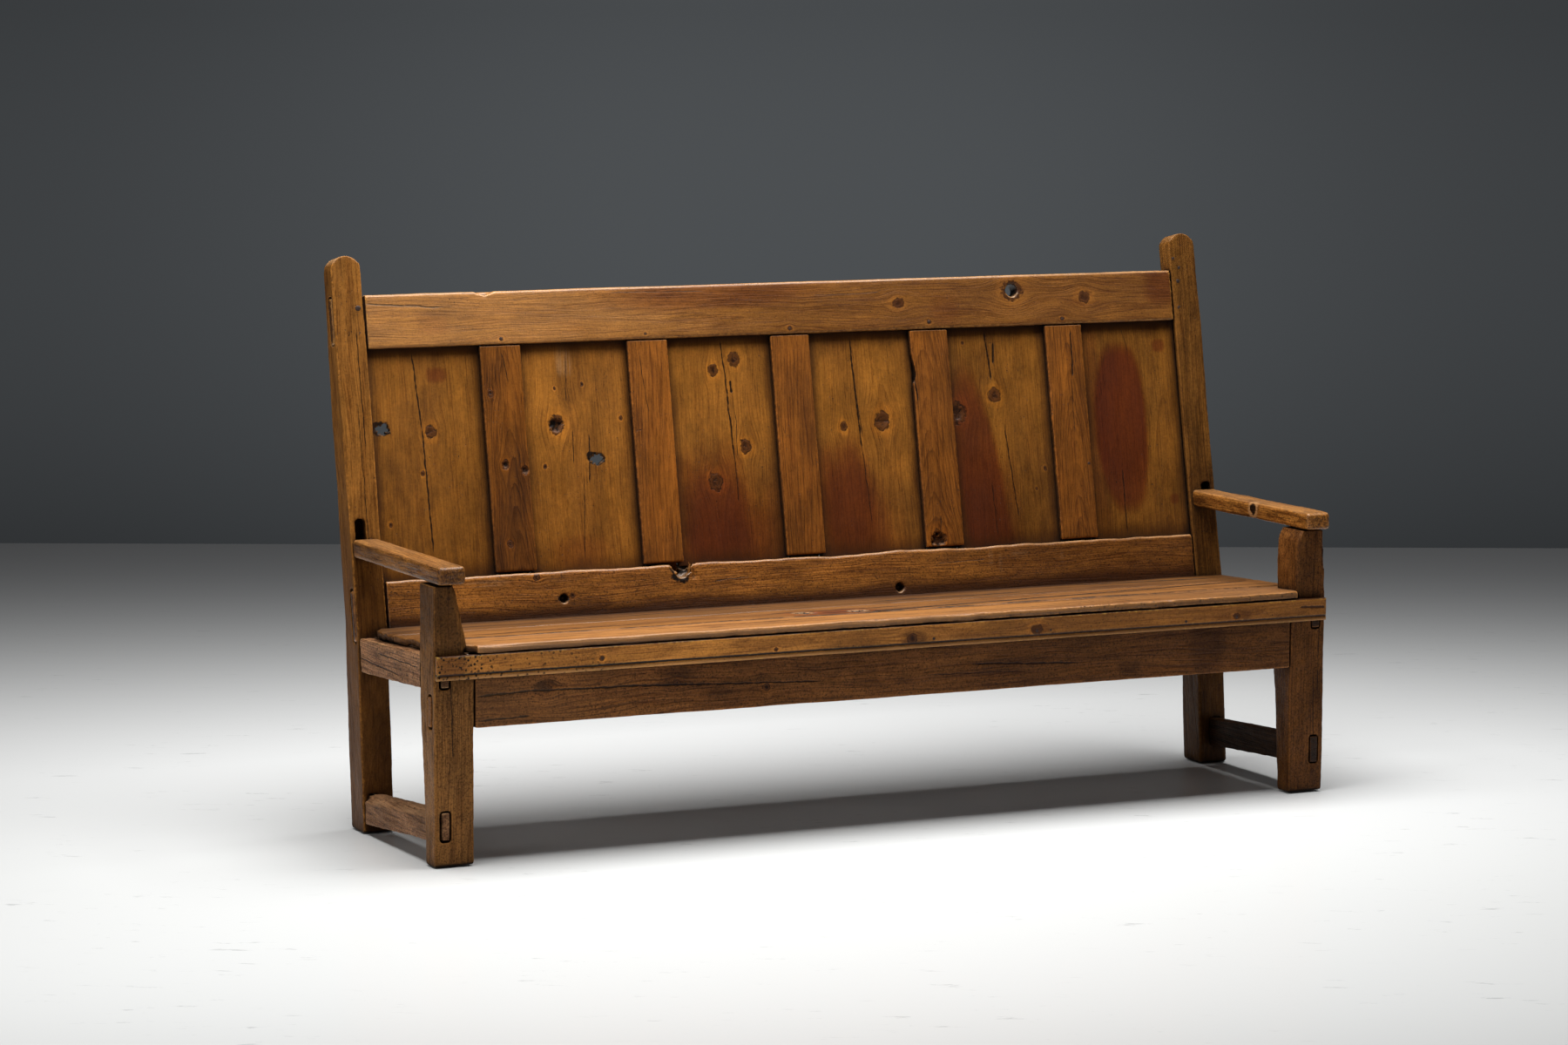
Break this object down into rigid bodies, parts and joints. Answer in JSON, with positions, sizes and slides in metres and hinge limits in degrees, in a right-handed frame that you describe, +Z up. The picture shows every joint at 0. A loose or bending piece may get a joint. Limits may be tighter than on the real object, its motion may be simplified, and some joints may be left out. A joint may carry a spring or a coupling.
{
  "type": "panelled settle bench",
  "caption": "Long country settle in old waxed pine, with a raked panelled back, shaped arms, a plank seat behind a beaded fascia and tenoned side stretchers.",
  "frame": {"origin": "on the floor under the middle of the whole bounding box", "axes": "+Z up, the front faces -Y, +X to the right of someone looking at the front"},
  "size_m": [1.98, 0.621, 1.134],
  "materials": {
    "pine_honey": "old waxed pine, honey orange, worn and satin",
    "pine_amber": "old waxed pine, amber, knotty, satin",
    "pine_brown": "old waxed pine, brown and rubbed",
    "pine_shaded": "old pine, dull brown, little waxed"
  },
  "bodies": {
    "root": {"rear_post_left": "pine_honey", "front_post_left": "pine_brown", "arm_left": "pine_honey", "side_seat_rail_left": "pine_shaded", "stretcher_left": "pine_shaded", "rear_post_right": "pine_honey", "front_post_right": "pine_brown", "arm_right": "pine_honey", "side_seat_rail_right": "pine_shaded", "stretcher_right": "pine_shaded", "front_rail": "pine_brown", "fascia_moulding": "pine_honey", "seat_ledger": "pine_shaded", "seat_board_front": "pine_honey", "seat_board_middle": "pine_honey", "seat_board_rear": "pine_honey", "seat_bearer_left": "pine_shaded", "seat_bearer_right": "pine_shaded", "top_back_rail": "pine_honey", "lower_back_rail": "pine_honey", "muntin_1": "pine_amber", "muntin_2": "pine_amber", "muntin_3": "pine_amber", "muntin_4": "pine_amber", "muntin_5": "pine_amber", "panel_1": "pine_amber", "panel_2": "pine_amber", "panel_3": "pine_amber", "panel_4": "pine_amber", "panel_5": "pine_amber", "panel_6": "pine_amber"}
  },
  "joints": []
}
